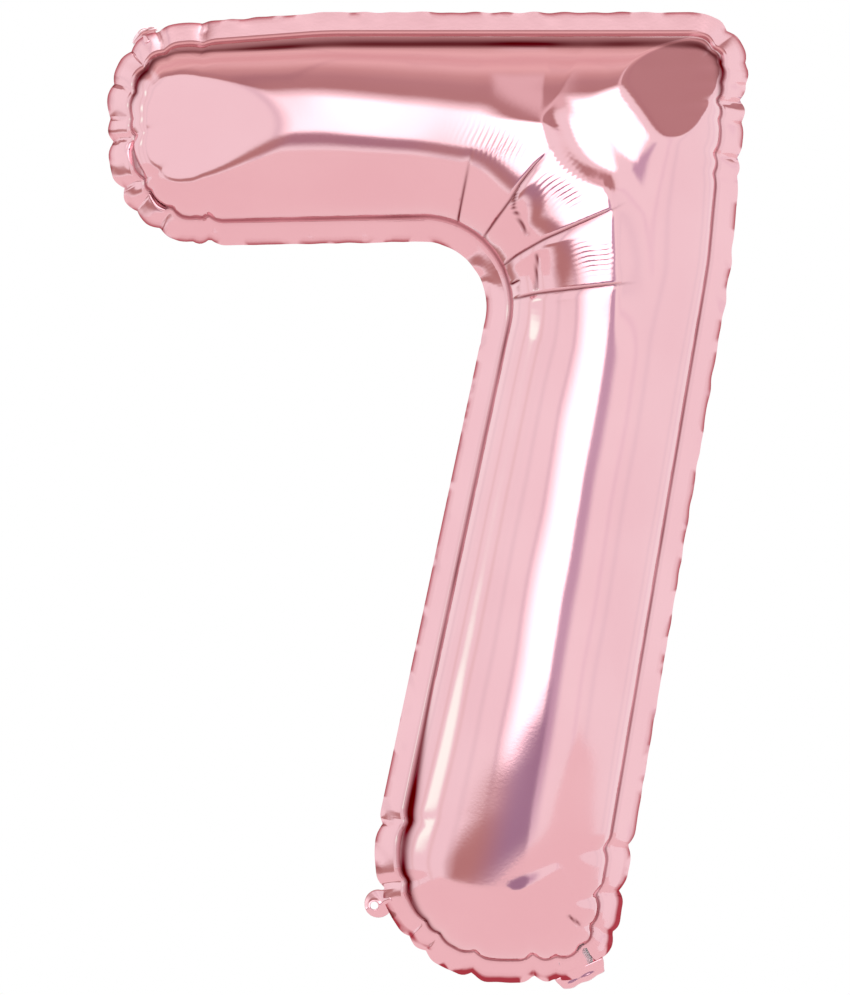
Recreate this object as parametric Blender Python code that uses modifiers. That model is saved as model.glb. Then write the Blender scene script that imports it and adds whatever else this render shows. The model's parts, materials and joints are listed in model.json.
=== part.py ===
"""Foil number balloon, the digit seven: two films sealed round their edge, with a valve neck and two hanging tabs.

Metres, +Z up, the digit upright in the XZ plane and its front towards -Y. The world origin is the middle of the
hole in the upper tab, where the hanging ribbon goes through. The digit itself is worked out in its own
coordinates, x from its left edge and z from its lowest edge, and every object is then moved by -ORIGIN.
"""

import math

import bmesh
import bpy
from mathutils import Matrix, Vector

COLLECTION = "foil_number_balloon"

# The inflated digit, over the sealed edge
HEIGHT = 0.360
SEAM = 0.008  # width of the heat-sealed edge

# Corners of the outline with their radii (x, z, radius), clockwise from the bar's upper left
CORNERS = {
    "bar_top": (0.0000, 0.3540, 0.030),
    "bar_crown": (0.0800, HEIGHT, 0.200),
    "outer_corner": (0.2400, HEIGHT, 0.022),
    "stem_shoulder": (0.2310, 0.2650, 0.150),
    "foot_right": (0.1860, 0.0000, 0.026),
    "foot_left": (0.0875, 0.0000, 0.048),
    "inner_corner": (0.1461, 0.2755, 0.024),
    "bar_bottom": (-0.0010, 0.2728, 0.038),
}
OUTER_SIDE = ("bar_top", "bar_crown", "outer_corner", "stem_shoulder", "foot_right")
INNER_SIDE = ("foot_left", "inner_corner", "bar_bottom")

CORNER_DEPTH = 0.0385  # the most that a face stands out, at the outer corner

# Film and the air gaps that keep the pieces apart
FILM = 0.0003
GAP = 0.0003
LAYER = FILM + GAP
VALVE_CHANNEL = 0.5 * GAP + LAYER  # half the space between the panels where the valve passes

# Fineness: rows of faces along the stroke, columns across it, and steps in each kind of arc
BAR_ROWS, CORNER_ROWS, STEM_ROWS, COLUMNS = 11, 22, 18, 16
CORNER_STEPS, TAB_STEPS, HOLE_STEPS, NECK_STEPS = 12, 24, 16, 5
SIDE_SAMPLES = 800  # places tried along a side when looking for its nearest point
SAME_PLACE = 1e-6  # points nearer than this are one

# Neck: the inflation tail at the foot's right, folded back behind the foot
NECK_OUT = Vector((0.42, 0.0, -0.9075)).normalized()
NECK_FOLD = math.radians(110)
NECK_WIDTH = 0.016
NECK_LENGTH = 0.030
NECK_ROUND = 0.003  # radius of the neck's free corners
NECK_HINGE_ROOM = 0.0018  # from the panels' edge to the fold
VALVE_WIDTH = 0.012
VALVE_INSIDE = 0.040
VALVE_SHORT = 0.003  # the valve's mouth stops this much before the neck's
CHANNEL_HALF = 0.5 * NECK_WIDTH + 0.004  # the panels stand apart this far to each side of the valve
CHANNEL_FADE = 0.008  # and close again over this width
CHANNEL_REACH = 4.0 * SEAM  # how far inwards they are held apart

# Hanging tabs
TAB_RADIUS = 0.0052
TAB_CENTRE = 0.0014  # of the tab's round outline, outwards from its fold
TAB_HOLE_AT = 0.0031
TAB_HOLE_R = 0.0015
TAB_HINGE_ROOM = 0.0008
UPPER_TAB_OUT = Vector((-0.52, 0.0, 0.854)).normalized()
LOWER_TAB_OUT = Vector((-0.92, 0.0, -0.39)).normalized()
UPPER_TAB_FOLD = math.radians(70)
LOWER_TAB_FOLD = 0.0
ROOT_CLEARANCE = 0.0003  # from a fold to the piece that turns on it


# ---------------------------------------------------------------- outline

def corner_list():
    """The corners of the outline with their radii."""
    return [(Vector((x, z)), radius) for x, z, radius in CORNERS.values()]


def inset_corners(inset):
    """The corners after every edge has moved inwards by inset."""
    corners = corner_list()
    count = len(corners)
    result = []
    for i, (corner, radius) in enumerate(corners):
        into = (corner - corners[i - 1][0]).normalized()
        away = (corners[(i + 1) % count][0] - corner).normalized()
        turn = into.x * away.y - into.y * away.x  # negative where the outline is convex
        normal_in = Vector((into.y, -into.x))
        normal_away = Vector((away.y, -away.x))
        shift = (normal_in + normal_away) * inset / (1.0 + normal_in.dot(normal_away))
        result.append((corner + shift, radius - inset if turn < 0 else radius + inset))
    return result


def fillet(corners, index, steps=CORNER_STEPS):
    """Points of the arc that rounds one corner, in the outline's own direction."""
    before = corners[index - 1][0]
    corner, radius = corners[index]
    after = corners[(index + 1) % len(corners)][0]
    to_before = (before - corner).normalized()
    to_after = (after - corner).normalized()
    half = 0.5 * to_before.angle(to_after)
    middle = corner + (to_before + to_after).normalized() * radius / math.sin(half)
    start = corner + to_before * radius / math.tan(half) - middle
    end = corner + to_after * radius / math.tan(half) - middle
    sweep = start.angle_signed(end)
    return [middle + Matrix.Rotation(-sweep * k / steps, 2) @ start for k in range(steps + 1)]


def arc_lengths(points):
    lengths = [0.0]
    for a, b in zip(points, points[1:]):
        lengths.append(lengths[-1] + (b - a).length)
    return lengths


def point_at(points, lengths, distance):
    """The point a distance along a polyline."""
    distance = min(max(distance, 0.0), lengths[-1])
    for i in range(1, len(points)):
        if distance <= lengths[i]:
            part = (distance - lengths[i - 1]) / max(lengths[i] - lengths[i - 1], SAME_PLACE)
            return points[i - 1].lerp(points[i], part)
    return points[-1].copy()


def nearest_distance(points, lengths, target):
    """How far along a polyline its nearest point to the target lies."""
    step = lengths[-1] / SIDE_SAMPLES
    best = min(range(SIDE_SAMPLES + 1), key=lambda k: (point_at(points, lengths, step * k) - target).length)
    return step * best


class Side:
    """One long side of the stroke, with breaks where the inner corner's arc starts and ends."""

    def __init__(self, points, break_points):
        self.points = points
        self.lengths = arc_lengths(points)
        breaks = [nearest_distance(points, self.lengths, p) for p in break_points]
        self.breaks = [0.0, *breaks, self.lengths[-1]]

    def at(self, u):
        """u runs from 0 to 1 along the bar, 1 to 2 round the corner and 2 to 3 down the stem."""
        part = min(int(u), 2)
        low, high = self.breaks[part], self.breaks[part + 1]
        return point_at(self.points, self.lengths, low + (high - low) * (u - part))


class Edge:
    """One short end of the stroke."""

    def __init__(self, points):
        self.points = points
        self.lengths = arc_lengths(points)

    def at(self, v):
        return point_at(self.points, self.lengths, self.lengths[-1] * v)


def stroke_edges(inset):
    """The four edges of the stroke: inner and outer side, bar end and foot end."""
    corners = inset_corners(inset)
    arcs = {name: fillet(corners, i) for i, name in enumerate(CORNERS)}
    mid = len(arcs["bar_top"]) // 2

    def side(names):
        first, *between, last = names
        return arcs[first][mid:] + sum((arcs[n] for n in between), []) + arcs[last][: mid + 1]

    inner = side(INNER_SIDE)[::-1]
    bar_end = side((INNER_SIDE[-1], OUTER_SIDE[0]))
    foot_end = side((OUTER_SIDE[-1], INNER_SIDE[0]))[::-1]
    breaks = [arcs["inner_corner"][-1], arcs["inner_corner"][0]]
    return Side(inner, breaks), Side(side(OUTER_SIDE), breaks), Edge(bar_end), Edge(foot_end)


# ---------------------------------------------------------------- panels

def stops():
    """Row places along the stroke, closest together at both ends, and column places across it."""
    quarter = 0.5 * math.pi
    rows = [1.0 - math.cos(quarter * i / BAR_ROWS) for i in range(BAR_ROWS)]
    rows += [1.0 + i / CORNER_ROWS for i in range(CORNER_ROWS)]
    rows += [2.0 + math.sin(quarter * i / STEM_ROWS) for i in range(STEM_ROWS + 1)]
    columns = [0.5 - 0.5 * math.cos(math.pi * j / COLUMNS) for j in range(COLUMNS + 1)]
    return rows, columns


def patch_point(edges, u, v):
    """A point of the flat outline between its four edges."""
    inner, outer, bar_end, foot_end = edges
    w = u / 3.0
    across = inner.at(u).lerp(outer.at(u), v)
    along = bar_end.at(v).lerp(foot_end.at(v), w)
    start = inner.at(0.0).lerp(outer.at(0.0), v)
    finish = inner.at(3.0).lerp(outer.at(3.0), v)
    return across + along - start.lerp(finish, w)


def roundness(distance, radius):
    """Height of a circle of the radius at a distance in from its edge, as a share of the radius."""
    reach = min(distance / radius, 1.0)
    return math.sqrt(max(reach * (2.0 - reach), 0.0))


def bulge(edges, u, v, point):
    """How far the inflated film stands out from the seam's plane."""
    inner, outer, bar_end, foot_end = edges
    radius = min(0.5 * (outer.at(u) - inner.at(u)).length, CORNER_DEPTH)
    ends = roundness((point - bar_end.at(v)).length, radius)
    ends *= roundness((point - foot_end.at(v)).length, radius)
    return radius * math.sqrt(max(4.0 * v * (1.0 - v), 0.0)) * ends


def channel(point):
    """Extra room beside the middle plane where the valve films pass between the panels."""
    offset = Vector((point.x, 0.0, point.y)) - NECK_AT
    sideways = abs(offset.dot(Vector((-NECK_OUT.z, 0.0, NECK_OUT.x))))
    inwards = -offset.dot(NECK_OUT)
    side = min(max((CHANNEL_HALF + CHANNEL_FADE - sideways) / CHANNEL_FADE, 0.0), 1.0)
    return (VALVE_CHANNEL - 0.5 * GAP) * side if inwards < CHANNEL_REACH else 0.0


def panel_mesh(name, facing):
    """One panel: its inner face, from a grid bent along the stroke. facing is -1 in front and +1 behind."""
    rows, columns = stops()
    seam_edges = stroke_edges(SEAM)
    rim_edges = stroke_edges(0.0)
    last_row, last_column = len(rows) + 1, len(columns) + 1
    bm = bmesh.new()
    bmesh.ops.create_grid(bm, x_segments=last_row, y_segments=last_column, size=1.0)
    for vert in bm.verts:
        i = round((vert.co.x + 1.0) * 0.5 * last_row)
        j = round((vert.co.y + 1.0) * 0.5 * last_column)
        u = rows[min(max(i - 1, 0), len(rows) - 1)]
        v = columns[min(max(j - 1, 0), len(columns) - 1)]
        on_rim = i in (0, last_row) or j in (0, last_column)
        point = patch_point(rim_edges if on_rim else seam_edges, u, v)
        height = 0.0 if on_rim else bulge(seam_edges, u, v, point)
        vert.co = (point.x, facing * (height + 0.5 * GAP + channel(point)), point.y)
    bmesh.ops.remove_doubles(bm, verts=bm.verts, dist=SAME_PLACE)  # the rim's four corners are met twice
    bmesh.ops.recalc_face_normals(bm, faces=bm.faces)
    if sum(face.normal.y * face.calc_area() for face in bm.faces) * facing < 0:
        bmesh.ops.reverse_faces(bm, faces=bm.faces)
    mesh = bpy.data.meshes.new(name)
    bm.to_mesh(mesh)
    bm.free()
    mesh.shade_smooth()
    return mesh


def make_panel(name, facing, material, parts):
    panel = bpy.data.objects.new(name, panel_mesh(name, facing))
    panel.location = -ORIGIN
    panel.data.materials.append(material)
    film = panel.modifiers.new("film", "SOLIDIFY")
    film.thickness = FILM
    film.offset = 1.0
    film.use_even_offset = True
    parts.objects.link(panel)
    return panel


# ---------------------------------------------------------------- flat films

def plane_axes(outward):
    """Axes of a flap: X outwards, Y along its fold, Z towards the front."""
    along = Vector((-outward.z, 0.0, outward.x))
    return Matrix((outward, along, outward.cross(along))).transposed().to_4x4()


def fold_place(point, outward, room, fold):
    """World matrix of a flap whose fold lies a little outside the panels' edge."""
    place = Matrix.Translation(point + outward * room)
    return place @ plane_axes(outward) @ Matrix.Rotation(fold, 4, "Y")


def make_fold(name, place, parts):
    """The empty that a flap turns on. Its Y axis is the fold."""
    fold = bpy.data.objects.new(name, None)
    fold.empty_display_size = 0.01
    fold.matrix_world = Matrix.Translation(-ORIGIN) @ place
    parts.objects.link(fold)
    return fold


def make_flat_film(name, outlines, layer, fold, material, parts):
    """A flat film with the given closed outlines, the layer being its middle's height over the fold."""
    curve = bpy.data.curves.new(name, "CURVE")
    curve.dimensions = "2D"
    curve.fill_mode = "BOTH"
    curve.extrude = 0.5 * FILM
    for points in outlines:
        spline = curve.splines.new("POLY")
        spline.points.add(len(points) - 1)
        spline.use_cyclic_u = True
        for target, (x, y) in zip(spline.points, points):
            target.co = (x, y, 0.0, 1.0)
    curve.materials.append(material)
    film = bpy.data.objects.new(name, curve)
    film.parent = fold
    film.location = (0.0, 0.0, layer)
    parts.objects.link(film)
    return film


def arc(centre_x, centre_y, radius, first, last, steps):
    angles = [first + (last - first) * k / steps for k in range(steps + 1)]
    return [(centre_x + radius * math.cos(a), centre_y + radius * math.sin(a)) for a in angles]


def tab_outlines():
    """A round tab with a punched hole, cut straight at its fold."""
    half = math.acos((ROOT_CLEARANCE - TAB_CENTRE) / TAB_RADIUS)
    last = 2.0 * math.pi * (HOLE_STEPS - 1) / HOLE_STEPS  # the circle closes by itself
    return [arc(TAB_CENTRE, 0.0, TAB_RADIUS, -half, half, TAB_STEPS),
            arc(TAB_HOLE_AT, 0.0, TAB_HOLE_R, 0.0, last, HOLE_STEPS - 1)]


def strip_outlines(start, end, width, round_r=0.0):
    """A strip from start to end along X, with the far corners rounded."""
    half = 0.5 * width
    if round_r <= 0.0:
        return [[(start, -half), (end, -half), (end, half), (start, half)]]
    quarter = 0.5 * math.pi
    lower = arc(end - round_r, -half + round_r, round_r, -quarter, 0.0, NECK_STEPS)
    upper = arc(end - round_r, half - round_r, round_r, 0.0, quarter, NECK_STEPS)
    return [[(start, -half), *lower, *upper, (start, half)]]


# ---------------------------------------------------------------- materials

def plain_material(name, colour, metallic, roughness):
    material = bpy.data.materials.new(name)
    material.use_nodes = True
    shader = material.node_tree.nodes["Principled BSDF"]
    shader.inputs["Base Color"].default_value = (*colour, 1.0)
    shader.inputs["Metallic"].default_value = metallic
    shader.inputs["Roughness"].default_value = roughness
    return material


def foil(name):
    return plain_material(name, (0.90, 0.47, 0.51), 1.0, 0.15)


def clear_film(name):
    return plain_material(name, (0.86, 0.80, 0.81), 0.0, 0.30)


# ---------------------------------------------------------------- assembly

def rim_point(outward):
    """The place on the outline furthest along a direction, where that tab is rooted."""
    corners = inset_corners(0.0)
    points = [p for i in range(len(corners)) for p in fillet(corners, i)]
    best = max(points, key=lambda p: p.x * outward.x + p.y * outward.z)
    return Vector((best.x, 0.0, best.y))


NECK_AT = rim_point(NECK_OUT)
UPPER_TAB_PLACE = fold_place(rim_point(UPPER_TAB_OUT), UPPER_TAB_OUT, TAB_HINGE_ROOM, UPPER_TAB_FOLD)
LOWER_TAB_PLACE = fold_place(rim_point(LOWER_TAB_OUT), LOWER_TAB_OUT, TAB_HINGE_ROOM, LOWER_TAB_FOLD)
ORIGIN = UPPER_TAB_PLACE @ Vector((TAB_HOLE_AT, 0.0, 0.0))


def clear_scene():
    for old in list(bpy.data.objects):
        bpy.data.objects.remove(old)


def build():
    clear_scene()
    parts = bpy.data.collections.new(COLLECTION)
    bpy.context.scene.collection.children.link(parts)

    make_panel("front_panel", -1, foil("front_foil"), parts)
    make_panel("back_panel", 1, foil("back_foil"), parts)

    inner_layer = 0.5 * LAYER
    outer_layer = VALVE_CHANNEL + 0.5 * FILM
    valve_line = make_fold("valve_line", fold_place(NECK_AT, NECK_OUT, NECK_HINGE_ROOM, 0.0), parts)
    neck_fold = make_fold("neck_fold", fold_place(NECK_AT, NECK_OUT, NECK_HINGE_ROOM, NECK_FOLD), parts)
    valve = strip_outlines(-VALVE_INSIDE, -NECK_HINGE_ROOM, VALVE_WIDTH)
    mouth = strip_outlines(ROOT_CLEARANCE, NECK_LENGTH - VALVE_SHORT, VALVE_WIDTH)
    neck = strip_outlines(ROOT_CLEARANCE, NECK_LENGTH, NECK_WIDTH, NECK_ROUND)
    for side, sign in (("front", 1), ("back", -1)):
        make_flat_film(f"valve_film_{side}", valve, sign * inner_layer, valve_line,
                       clear_film(f"valve_clear_{side}"), parts)
        make_flat_film(f"valve_mouth_{side}", mouth, sign * inner_layer, neck_fold,
                       clear_film(f"mouth_clear_{side}"), parts)
        make_flat_film(f"neck_film_{side}", neck, sign * outer_layer, neck_fold,
                       foil(f"neck_foil_{side}"), parts)

    for place_name, place in (("upper_tab", UPPER_TAB_PLACE), ("lower_tab", LOWER_TAB_PLACE)):
        fold = make_fold(f"{place_name}_fold", place, parts)
        for side, sign in (("front", 1), ("back", -1)):
            make_flat_film(f"{place_name}_{side}", tab_outlines(), sign * inner_layer, fold,
                           foil(f"{place_name}_foil_{side}"), parts)


build()
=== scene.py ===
"""Looks of the foil number balloon: two inflated metallised films with creases, pleats and a sealed edge.

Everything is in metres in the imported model's frame, +Z up and the digit's front towards -Y. The digit is
worked out in its own flat coordinates, x from its left edge and z from its lowest edge, and moved to where
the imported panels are. A film is a fine grid bent along the digit's stroke, with the sealed flange round it.
"""

import json
import math

import bpy
import numpy as np
from mathutils import Matrix, Vector


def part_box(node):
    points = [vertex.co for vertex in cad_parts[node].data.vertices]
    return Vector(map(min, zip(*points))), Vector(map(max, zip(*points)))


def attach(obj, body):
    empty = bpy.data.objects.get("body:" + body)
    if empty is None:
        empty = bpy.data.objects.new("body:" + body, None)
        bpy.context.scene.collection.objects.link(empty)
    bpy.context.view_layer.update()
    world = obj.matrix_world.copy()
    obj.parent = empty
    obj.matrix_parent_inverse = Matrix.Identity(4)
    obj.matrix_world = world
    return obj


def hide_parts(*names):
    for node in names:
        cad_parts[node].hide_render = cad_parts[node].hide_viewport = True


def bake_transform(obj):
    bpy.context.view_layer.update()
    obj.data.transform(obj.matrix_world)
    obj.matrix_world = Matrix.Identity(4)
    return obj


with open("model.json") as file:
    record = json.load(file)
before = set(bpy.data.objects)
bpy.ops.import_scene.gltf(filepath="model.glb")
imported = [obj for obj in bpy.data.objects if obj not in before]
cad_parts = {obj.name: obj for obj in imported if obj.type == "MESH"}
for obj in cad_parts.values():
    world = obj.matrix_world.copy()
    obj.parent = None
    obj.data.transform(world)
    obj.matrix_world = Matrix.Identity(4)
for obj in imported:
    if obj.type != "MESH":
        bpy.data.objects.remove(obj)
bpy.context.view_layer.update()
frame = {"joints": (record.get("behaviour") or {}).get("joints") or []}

# ---------------------------------------------------------------- sizes

DIGIT_HEIGHT = 0.360
SEAM = 0.008  # width of the sealed flange

# Corners of the outline with their radii (x, z, radius), clockwise from the bar's upper left, as in the CAD
CORNERS = {
    "bar_top": (0.0000, 0.3540, 0.030),
    "bar_crown": (0.0800, DIGIT_HEIGHT, 0.200),
    "outer_corner": (0.2400, DIGIT_HEIGHT, 0.022),
    "stem_shoulder": (0.2310, 0.2650, 0.150),
    "foot_right": (0.1860, 0.0000, 0.026),
    "foot_left": (0.0875, 0.0000, 0.048),
    "inner_corner": (0.1461, 0.2755, 0.024),
    "bar_bottom": (-0.0010, 0.2728, 0.038),
}
OUTER_SIDE = ("bar_top", "bar_crown", "outer_corner", "stem_shoulder", "foot_right")
INNER_SIDE = ("foot_left", "inner_corner", "bar_bottom")

CROWN = 0.0385  # how far the film stands out where the stroke is a plain tube
CORNER_RISE = 0.0010  # how much further it stands out at the wide corner
CROWN_EVEN = 0.016  # along the stroke, over which the crown's height evens out
# At the bar's end and at the foot: length of the round shoulder, length of the slight taper, and its drop
BAR_SHOULDER, BAR_TAPER, BAR_DROP = 0.026, 0.135, 0.35
FOOT_SHOULDER, FOOT_TAPER, FOOT_DROP = 0.030, 0.122, 0.28
BAR_SKEW = 0.14  # how much nearer to its upper edge the bar's crown lies
FLANGE_TILT = math.radians(20)
FLANGE_TOP_LESS = 0.29  # share by which the flange leans less along the bar's top
CRUMPLE, CRUMPLE_SPACING = 0.00010, 0.0050  # of the flange beside a flap: half height and spacing
HALF_GAP = 0.00025  # from the middle plane to a film's flange
PANEL_GAP = 0.00015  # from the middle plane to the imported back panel's flange
SEAM_LINE, CREASE_LINE, EDGE_LINE = 0.0006, 0.00045, 0.0018  # widths of the lines of painted shade by the seam and along the folds, and of the painted red reflection along the cut edge
SEAM_LINE_IN, SEAM_LINE_TOP_IN = 1.4, 1.3  # line widths from the seam to it, and how many more on top
SEAM_LINE_WIDER = 2.4  # share by which it is wider where the groove beside the seam is wide
SEAM_LINE_FAINT, SEAM_LINE_STRONGER = 0.6, 0.55  # its strength, and how much stronger it is where it is wide
TOP_FROM, TOP_FADE = 0.340, 0.006  # the height where the bar's top edge starts
FOOT_EDGE, FOOT_EDGE_FADE = 0.012, 0.02  # the height up to which the cut edge's painted red reflection is redder, at the foot
FOOT_EDGE_RISE, FOOT_EDGE_RISE_FROM = 0.25, 0.14  # its slope towards the right, from this x on
FOOT_EDGE_WIDER = 0.7  # share by which the line of painted red reflection is wider there
VALVE_ROOM = 0.00045  # how much further apart the films are where the valve passes between them
VALVE_HALF, VALVE_FADE, VALVE_REACH = 0.008, 0.005, 0.042
FLAP_ROOM = 0.005  # round a flap's root, where the flange is crumpled
SWELL, SWELL_SPACING = 0.00006, 0.045  # slight unevenness of the whole film
DIMPLE, DIMPLE_SPACING = 0.00001, 0.016
BODY_FROM = 0.010  # depth inwards from the seam at which the unevenness is full

ROWS, COLUMNS, FLANGE_RINGS = 520, 96, 6


# ---------------------------------------------------------------- plain helpers

def smooth(share):
    """A soft step from 0 to 1."""
    share = np.clip(share, 0.0, 1.0)
    return share * share * (3.0 - 2.0 * share)


def cusp(share):
    """The section of a sharp fold: 1 on its line, 0 from share 1 on."""
    soft = np.sqrt(share * share + 0.02 ** 2) - 0.02
    return np.clip(1.0 - soft, 0.0, 1.0) ** 2


def ripple(points, wavelength, seed, waves=14):
    """Even, seeded unevenness of about unit height over flat points."""
    random = np.random.default_rng(seed)
    total = np.zeros(len(points))
    for _ in range(waves):
        turn = random.uniform(0.0, 2.0 * math.pi)
        number = 2.0 * math.pi / (wavelength * random.uniform(0.7, 1.6))
        wave = points[:, 0] * math.cos(turn) + points[:, 1] * math.sin(turn)
        total += np.sin(number * wave + random.uniform(0.0, 2.0 * math.pi))
    return total / math.sqrt(waves)


def grid_faces(rows, columns):
    """Quads of a grid of points, row after row."""
    at = np.arange((rows + 1) * (columns + 1)).reshape(rows + 1, columns + 1)
    quads = np.stack((at[:-1, :-1], at[1:, :-1], at[1:, 1:], at[:-1, 1:]), axis=-1)
    return quads.reshape(-1, 4).tolist()


def link_piece(name, mesh):
    piece = bpy.data.objects.new(name, mesh)
    bpy.context.scene.collection.objects.link(piece)
    return piece


class Line:
    """A polyline in the digit's plane."""

    def __init__(self, points):
        self.points = np.array(points, float)
        steps = np.linalg.norm(np.diff(self.points, axis=0), axis=1)
        self.lengths = np.concatenate(([0.0], np.cumsum(steps)))

    def at(self, distance):
        return np.stack([np.interp(distance, self.lengths, self.points[:, k]) for k in (0, 1)], axis=-1)

    def measure(self, points):
        """Each point's distance to the line, its share of the way along it, and the side it is on."""
        best = np.full(len(points), np.inf)
        share = np.zeros(len(points))
        side = np.zeros(len(points))
        for k in range(len(self.points) - 1):
            a, b = self.points[k], self.points[k + 1]
            step = b - a
            t = np.clip((points - a) @ step / (step @ step), 0.0, 1.0)
            off = points - (a + t[:, None] * step)
            far = np.linalg.norm(off, axis=1)
            near = far < best
            best[near] = far[near]
            share[near] = (self.lengths[k] + t[near] * math.hypot(*step)) / self.lengths[-1]
            side[near] = np.sign(step[0] * off[near, 1] - step[1] * off[near, 0])
        return best, share, side


# ---------------------------------------------------------------- outline

def inset_corners(inset):
    """The corners with their radii after every edge has moved inwards by inset."""
    corners = [(Vector((x, z)), radius) for x, z, radius in CORNERS.values()]
    result = []
    for i, (corner, radius) in enumerate(corners):
        into = (corner - corners[i - 1][0]).normalized()
        away = (corners[(i + 1) % len(corners)][0] - corner).normalized()
        turn = into.x * away.y - into.y * away.x  # negative where the outline is convex
        normal_in = Vector((into.y, -into.x))
        normal_away = Vector((away.y, -away.x))
        shift = (normal_in + normal_away) * inset / (1.0 + normal_in.dot(normal_away))
        result.append((corner + shift, radius - inset if turn < 0 else radius + inset))
    return result


def fillet(corners, index, steps=40):
    """Points of the arc that rounds one corner, in the outline's own direction."""
    corner, radius = corners[index]
    to_before = (corners[index - 1][0] - corner).normalized()
    to_after = (corners[(index + 1) % len(corners)][0] - corner).normalized()
    half = 0.5 * to_before.angle(to_after)
    middle = corner + (to_before + to_after).normalized() * radius / math.sin(half)
    start = corner + to_before * radius / math.tan(half) - middle
    end = corner + to_after * radius / math.tan(half) - middle
    sweep = start.angle_signed(end)
    return [middle + Matrix.Rotation(-sweep * k / steps, 2) @ start for k in range(steps + 1)]


class Stroke:
    """The area inside the seam, with u along the stroke (0 to 3) and v across it (0 inside, 1 outside)."""

    def __init__(self):
        corners = inset_corners(SEAM)
        self.arcs = {name: fillet(corners, i) for i, name in enumerate(CORNERS)}
        self.inner = Line(self.side(INNER_SIDE)[::-1])
        self.outer = Line(self.side(OUTER_SIDE))
        self.bar_end = Line(self.side((INNER_SIDE[-1], OUTER_SIDE[0])))
        self.foot_end = Line(self.side((OUTER_SIDE[-1], INNER_SIDE[0]))[::-1])
        inner_arc = self.arcs["inner_corner"]
        self.outer_stops = self.stops(self.outer, inner_arc)
        self.inner_stops = self.stops(self.inner, inner_arc)

    def side(self, names):
        """Points from the middle of the first corner's arc to the middle of the last one's."""
        half = len(self.arcs[names[0]]) // 2
        between = [point for name in names[1:-1] for point in self.arcs[name]]
        return self.arcs[names[0]][half:] + between + self.arcs[names[-1]][: half + 1]

    @staticmethod
    def stops(line, inner_arc):
        """Distances along a side where the inner corner's arc starts and ends."""
        samples = np.linspace(0.0, line.lengths[-1], 4000)
        points = line.at(samples)
        near = [samples[np.argmin(np.linalg.norm(points - np.array(end), axis=1))]
                for end in (inner_arc[-1], inner_arc[0])]
        return [0.0, *near, line.lengths[-1]]

    def inner_at(self, u):
        return self.inner.at(np.interp(u, (0, 1, 2, 3), self.inner_stops))

    def outer_at(self, u):
        return self.outer.at(np.interp(u, (0, 1, 2, 3), self.outer_stops))

    def point(self, u, v):
        """Flat places for arrays of u and v, between the four edges."""
        w = (u / 3.0)[:, None]
        v_column = v[:, None]
        bar_side = self.bar_end.at(v * self.bar_end.lengths[-1])
        foot_side = self.foot_end.at(v * self.foot_end.lengths[-1])
        across = self.inner_at(u) * (1.0 - v_column) + self.outer_at(u) * v_column
        along = bar_side * (1.0 - w) + foot_side * w
        start = self.inner_at(0.0) * (1.0 - v_column) + self.outer_at(0.0) * v_column
        finish = self.inner_at(3.0) * (1.0 - v_column) + self.outer_at(3.0) * v_column
        return across + along - start * (1.0 - w) - finish * w

    def height(self, u, v, points):
        """How far the inflated film stands out over those places."""
        crown, power = self.section(u)
        to_bar = np.linalg.norm(points - self.bar_end.at(v * self.bar_end.lengths[-1]), axis=1)
        to_foot = np.linalg.norm(points - self.foot_end.at(v * self.foot_end.lengths[-1]), axis=1)
        skewed = v ** (1.0 + BAR_SKEW * (1.0 - smooth((u - 0.6) / 0.6)))
        round_section = np.sqrt(np.maximum(1.0 - np.abs(2.0 * skewed - 1.0) ** power, 0.0))
        at_bar = draw(to_bar, BAR_SHOULDER, BAR_TAPER, BAR_DROP)
        at_foot = draw(to_foot, FOOT_SHOULDER, FOOT_TAPER, FOOT_DROP)
        return crown * round_section * (at_bar * at_foot)

    def section(self, u):
        """The crown's height, and the power of its rounded section: 2 on a plain tube, more on the corner."""
        places = np.linspace(0.0, 3.0, 901)
        ends = self.outer_at(places), self.inner_at(places)
        half = 0.5 * np.linalg.norm(ends[0] - ends[1], axis=1)
        wide = smooth((half - CROWN) / 0.018)
        crown = np.minimum(half, CROWN) + CORNER_RISE * wide
        middle = 0.5 * (ends[0] + ends[1])
        steps = np.linalg.norm(np.diff(middle, axis=0), axis=1)
        along = np.concatenate(([0.0], np.cumsum(steps)))
        weight = np.exp(-0.5 * ((along[:, None] - along[None, :]) / CROWN_EVEN) ** 2)
        even = weight @ crown / weight.sum(axis=1)
        return np.interp(u, places, even), np.interp(u, places, 2.0 + 1.3 * wide)


def draw(distance, shoulder, taper, drop):
    """How an end draws the film down: a long slight taper and then a round shoulder to the seam."""
    left = 1.0 - np.clip(distance / shoulder, 0.0, 1.0)
    slow = 1.0 - np.clip(distance / taper, 0.0, 1.0)
    return np.sqrt(1.0 - left ** 2.4) * (1.0 - drop * slow ** 1.7)


def row_places(count):
    """Places along the stroke, closest at both ends and round the corner."""
    fine = np.linspace(0.0, 3.0, 12001)
    density = np.interp(fine, (0.0, 0.85, 1.05, 1.95, 2.15, 3.0), (80.0, 80.0, 215.0, 215.0, 120.0, 120.0))
    for distance, amount in ((fine, 26.0), (3.0 - fine, 36.0)):
        density += amount * np.exp(-distance / 0.15) / np.sqrt(distance + 1e-5)
    total = np.concatenate(([0.0], np.cumsum(0.5 * (density[1:] + density[:-1]))))
    return np.interp(np.linspace(0.0, total[-1], count + 1), total, fine)


# ---------------------------------------------------------------- film

# Where else than along the bar's top the groove beside the seam is wide, with a wider and stronger line of
# painted shade: place and reach
DEEP_SEAMS = (((0.1080, 0.0560), 0.060), ((0.2280, 0.3400), 0.022), ((0.0120, 0.3400), 0.020))

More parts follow.
